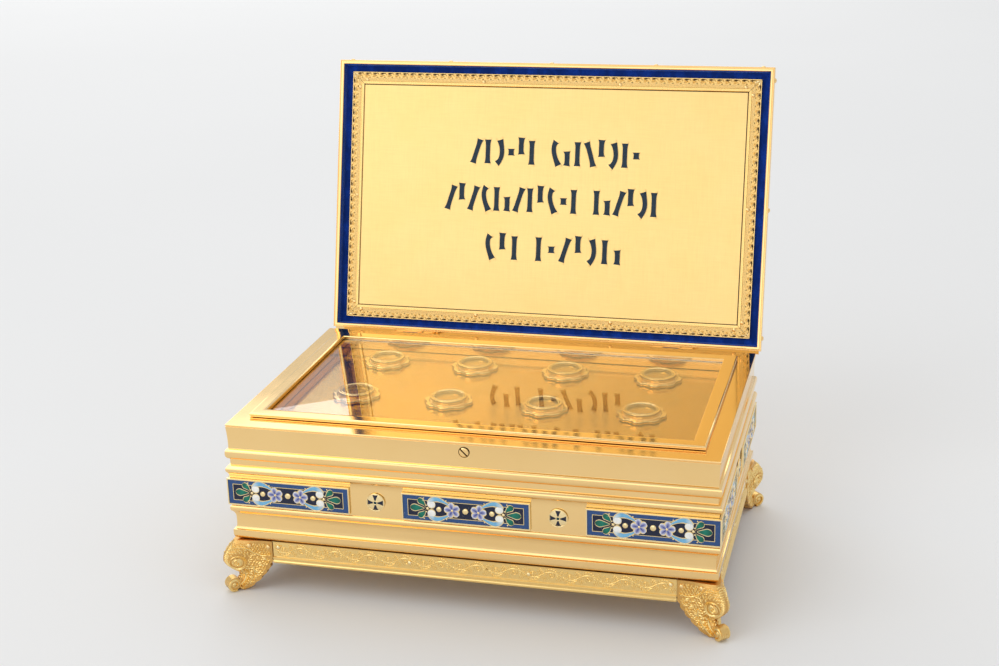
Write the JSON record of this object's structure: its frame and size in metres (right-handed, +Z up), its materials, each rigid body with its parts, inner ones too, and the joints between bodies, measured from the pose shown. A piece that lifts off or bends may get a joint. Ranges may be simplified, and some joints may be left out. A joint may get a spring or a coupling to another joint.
{
  "type": "reliquary casket",
  "caption": "Open gilt reliquary casket on scrolled corner feet, with an enamelled frieze, a glazed tray of round relic capsules, and a hinged, velvet-lined lid with an inscription plate.",
  "frame": {"origin": "middle of the open casket's box, on the surface that it stands on", "axes": "+Z up, the front with the lock screw faces -Y, the lid's hinges are at the back, +X along the width"},
  "size_m": [0.3168, 0.2608, 0.2914],
  "materials": {
    "polished_gilt": "mirror-polished gold plate on brass",
    "satin_gilt": "fine satin gold plate with a faint cross grain",
    "cast_gilt": "cast and chased gold plate, bright on the high places",
    "blue_enamel": "glossy hot enamel between gold wires, on a gilt tray",
    "velvet": "deep blue short-pile velvet",
    "clear_glass": "clear polished glass"
  },
  "bodies": {
    "case": {"case_walls": "polished_gilt", "lock_screw": "polished_gilt", "glazed_frame": "polished_gilt", "relic_floor": "polished_gilt", "hinge_left_case_leaf": "polished_gilt", "hinge_left_pin": "polished_gilt", "hinge_right_case_leaf": "polished_gilt", "hinge_right_pin": "polished_gilt", "capsule_1_case": "polished_gilt", "capsule_2_case": "polished_gilt", "capsule_3_case": "polished_gilt", "capsule_4_case": "polished_gilt", "capsule_5_case": "polished_gilt", "capsule_6_case": "polished_gilt", "capsule_7_case": "polished_gilt", "capsule_8_case": "polished_gilt", "boss_front_left": "polished_gilt", "boss_front_right": "polished_gilt", "boss_right": "polished_gilt", "boss_back_left": "polished_gilt", "boss_back_right": "polished_gilt", "boss_left": "polished_gilt", "bottom_plate": "satin_gilt", "apron_front": "cast_gilt", "apron_right": "cast_gilt", "apron_back": "cast_gilt", "apron_left": "cast_gilt", "foot_front_left": "cast_gilt", "foot_front_right": "cast_gilt", "foot_back_left": "cast_gilt", "foot_back_right": "cast_gilt", "enamel_front_left": "blue_enamel", "enamel_front_middle": "blue_enamel", "enamel_front_right": "blue_enamel", "enamel_right_left": "blue_enamel", "enamel_right_right": "blue_enamel", "enamel_back_left": "blue_enamel", "enamel_back_middle": "blue_enamel", "enamel_back_right": "blue_enamel", "enamel_left_left": "blue_enamel", "enamel_left_right": "blue_enamel", "glass_pane": "clear_glass", "capsule_1_lens": "clear_glass", "capsule_2_lens": "clear_glass", "capsule_3_lens": "clear_glass", "capsule_4_lens": "clear_glass", "capsule_5_lens": "clear_glass", "capsule_6_lens": "clear_glass", "capsule_7_lens": "clear_glass", "capsule_8_lens": "clear_glass"},
    "lid": {"lid_tray": "polished_gilt", "velvet_lining": "velvet", "inscription_plate": "satin_gilt", "border_front": "cast_gilt", "border_right": "cast_gilt", "border_back": "cast_gilt", "border_left": "cast_gilt", "hinge_left_lid_leaf": "polished_gilt", "hinge_right_lid_leaf": "polished_gilt"}
  },
  "joints": [
    {"name": "lid_hinge", "type": "hinge", "parent": "case", "child": "lid", "pos_m": [0, 0.06915, 0.1053], "axis": [1, 0, 0], "range_deg": [0, 104.1]}
  ]
}
